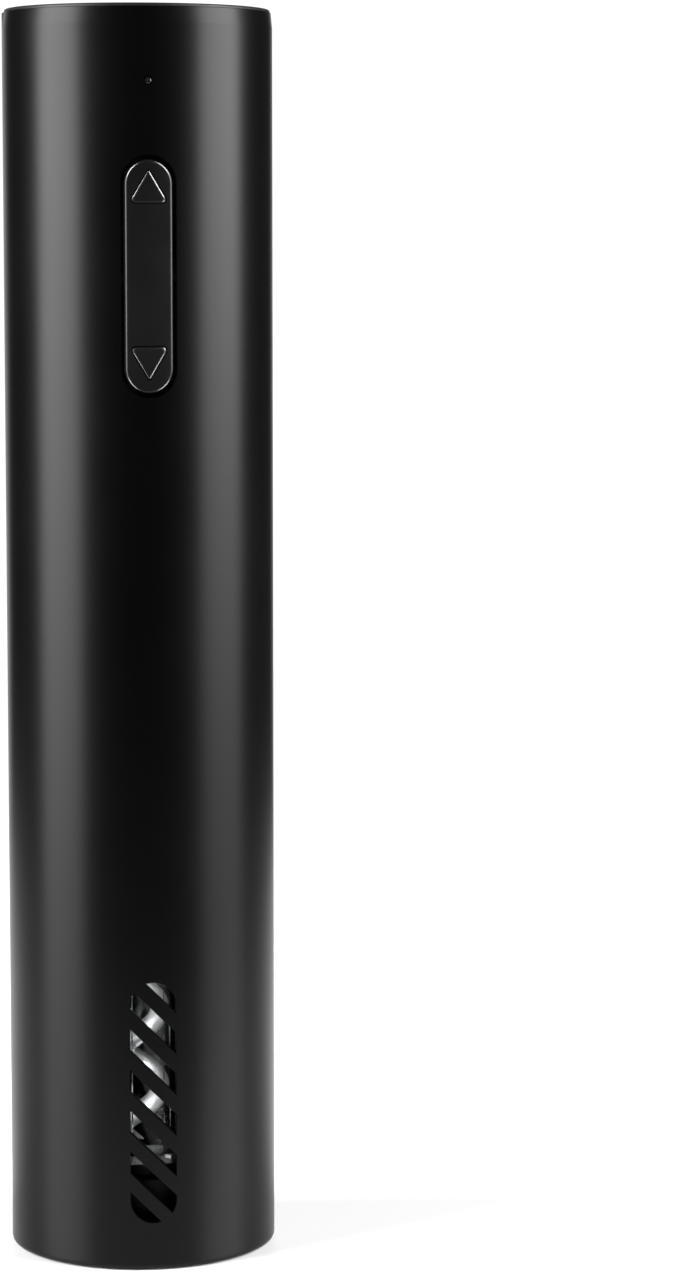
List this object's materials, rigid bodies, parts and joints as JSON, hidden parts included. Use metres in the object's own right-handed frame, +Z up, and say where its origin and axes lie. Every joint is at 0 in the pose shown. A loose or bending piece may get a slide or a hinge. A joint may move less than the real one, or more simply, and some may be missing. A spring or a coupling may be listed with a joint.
{
  "type": "electric wine opener",
  "caption": "Upright cylindrical electric corkscrew: slotted window over a motor-driven worm, rocker button, status light, bottle-neck socket.",
  "frame": {"origin": "centre of the mouth, on the surface that the opener stands on", "axes": "+Z up along the tube and the worm's axis; the button, the light and the window face -Y; +X to the right seen from the front"},
  "size_m": [0.047, 0.047, 0.218],
  "materials": {
    "black_tube": "satin black anodised finish",
    "black_trim": "fine satin black plastic",
    "button_black": "satin black plastic with a bright rim",
    "clear_plastic": "clear polycarbonate",
    "frame_plastic": "moulded dark grey plastic",
    "bright_steel": "polished plated steel",
    "screw_steel": "zinc plated steel",
    "black_steel": "black oxide steel",
    "smoked_lens": "smoked polycarbonate",
    "cast_zinc": "die-cast zinc",
    "gear_nylon": "white acetal",
    "pressed_steel": "plated pressed steel",
    "brass": "brass and sintered bronze",
    "copper": "enamelled copper",
    "lamination": "stamped steel plates",
    "ferrite": "ferrite",
    "cap_plastic": "black engineering plastic",
    "board_green": "green solder mask",
    "plunger_rubber": "silicone rubber",
    "led_white": "white LED package",
    "socket_steel": "stainless steel",
    "cell_wrap": "blue shrink wrap",
    "lead_red": "red insulation"
  },
  "bodies": {
    "housing": {"outer_tube": "black_tube", "top_cap": "black_trim", "neck_guide": "black_trim", "cork_sleeve": "clear_plastic", "chassis_front": "frame_plastic", "chassis_rear": "frame_plastic", "button_bracket": "frame_plastic", "gearbox_cover": "frame_plastic", "guide_screws": "screw_steel", "sleeve_screws": "screw_steel", "chassis_screws": "screw_steel", "gearbox_screws": "screw_steel", "motor_screws": "screw_steel", "rocker_pin": "black_steel", "light_pipe": "smoked_lens", "ring_gear": "gear_nylon", "motor_plate": "pressed_steel", "motor_can": "pressed_steel", "output_bush": "brass", "motor_bushes": "brass", "motor_brushes": "brass", "battery_tabs": "brass", "motor_magnets": "ferrite", "motor_end_cap": "cap_plastic", "switch_bodies": "cap_plastic", "board_parts": "cap_plastic", "socket_tongue": "cap_plastic", "control_board": "board_green", "charge_board": "board_green", "up_plunger": "plunger_rubber", "down_plunger": "plunger_rubber", "status_led": "led_white", "socket_shell": "socket_steel", "battery_cell": "cell_wrap", "power_leads": "lead_red", "motor_leads": "lead_red"},
    "button": {"rocker_button": "button_black"},
    "output": {"output_carrier": "cast_zinc", "output_pins": "screw_steel", "worm_holder": "cast_zinc", "holder_screw": "screw_steel", "worm": "bright_steel"},
    "second_stage": {"carrier_2": "gear_nylon"},
    "first_stage": {"carrier_1": "gear_nylon"},
    "rotor": {"motor_shaft": "screw_steel", "motor_pinion": "brass", "armature_core": "lamination", "armature_coils": "copper", "commutator": "copper"},
    "planet_3_a": {"planet_3_a": "gear_nylon"},
    "planet_3_b": {"planet_3_b": "gear_nylon"},
    "planet_3_c": {"planet_3_c": "gear_nylon"},
    "planet_2_a": {"planet_2_a": "gear_nylon"},
    "planet_2_b": {"planet_2_b": "gear_nylon"},
    "planet_2_c": {"planet_2_c": "gear_nylon"},
    "planet_1_a": {"planet_1_a": "gear_nylon"},
    "planet_1_b": {"planet_1_b": "gear_nylon"},
    "planet_1_c": {"planet_1_c": "gear_nylon"}
  },
  "joints": [
    {"name": "worm_spin", "type": "hinge", "parent": "housing", "child": "output", "pos_m": [0, 0, 0.08], "axis": [0, 0, 1], "continuous": true},
    {"name": "second_stage_spin", "type": "hinge", "parent": "housing", "child": "second_stage", "pos_m": [0, 0, 0.0925], "axis": [0, 0, 1], "continuous": true},
    {"name": "first_stage_spin", "type": "hinge", "parent": "housing", "child": "first_stage", "pos_m": [0, 0, 0.1004], "axis": [0, 0, 1], "continuous": true},
    {"name": "motor_spin", "type": "hinge", "parent": "housing", "child": "rotor", "pos_m": [0, 0, 0.123], "axis": [0, 0, 1], "continuous": true},
    {"name": "button_rock", "type": "hinge", "parent": "housing", "child": "button", "pos_m": [0, -0.0184, 0.1721], "axis": [1, 0, 0], "range_deg": [-1.8, 1.8], "stiffness_Nm_per_rad": 0.5, "deforming": ["up_plunger", "down_plunger"]},
    {"name": "planet_3_a_spin", "type": "hinge", "parent": "output", "child": "planet_3_a", "pos_m": [0.0075, 0, 0.0884], "axis": [0, 0, 1], "continuous": true},
    {"name": "planet_3_b_spin", "type": "hinge", "parent": "output", "child": "planet_3_b", "pos_m": [-0.00375, 0.0065, 0.0884], "axis": [0, 0, 1], "continuous": true},
    {"name": "planet_3_c_spin", "type": "hinge", "parent": "output", "child": "planet_3_c", "pos_m": [-0.00375, -0.0065, 0.0884], "axis": [0, 0, 1], "continuous": true},
    {"name": "planet_2_a_spin", "type": "hinge", "parent": "second_stage", "child": "planet_2_a", "pos_m": [0.0075, 0, 0.0965], "axis": [0, 0, 1], "continuous": true},
    {"name": "planet_2_b_spin", "type": "hinge", "parent": "second_stage", "child": "planet_2_b", "pos_m": [-0.00375, 0.0065, 0.0965], "axis": [0, 0, 1], "continuous": true},
    {"name": "planet_2_c_spin", "type": "hinge", "parent": "second_stage", "child": "planet_2_c", "pos_m": [-0.00375, -0.0065, 0.0965], "axis": [0, 0, 1], "continuous": true},
    {"name": "planet_1_a_spin", "type": "hinge", "parent": "first_stage", "child": "planet_1_a", "pos_m": [0.0075, 0, 0.1038], "axis": [0, 0, 1], "continuous": true},
    {"name": "planet_1_b_spin", "type": "hinge", "parent": "first_stage", "child": "planet_1_b", "pos_m": [-0.00375, 0.0065, 0.1038], "axis": [0, 0, 1], "continuous": true},
    {"name": "planet_1_c_spin", "type": "hinge", "parent": "first_stage", "child": "planet_1_c", "pos_m": [-0.00375, -0.0065, 0.1038], "axis": [0, 0, 1], "continuous": true}
  ],
  "couplings": [
    {"joint": "second_stage_spin", "follows": "worm_spin", "ratio": 4},
    {"joint": "first_stage_spin", "follows": "worm_spin", "ratio": 16},
    {"joint": "motor_spin", "follows": "worm_spin", "ratio": 64},
    {"joint": "planet_3_a_spin", "follows": "worm_spin", "ratio": -3},
    {"joint": "planet_3_b_spin", "follows": "worm_spin", "ratio": -3},
    {"joint": "planet_3_c_spin", "follows": "worm_spin", "ratio": -3},
    {"joint": "planet_2_a_spin", "follows": "worm_spin", "ratio": -12},
    {"joint": "planet_2_b_spin", "follows": "worm_spin", "ratio": -12},
    {"joint": "planet_2_c_spin", "follows": "worm_spin", "ratio": -12},
    {"joint": "planet_1_a_spin", "follows": "worm_spin", "ratio": -48},
    {"joint": "planet_1_b_spin", "follows": "worm_spin", "ratio": -48},
    {"joint": "planet_1_c_spin", "follows": "worm_spin", "ratio": -48}
  ]
}
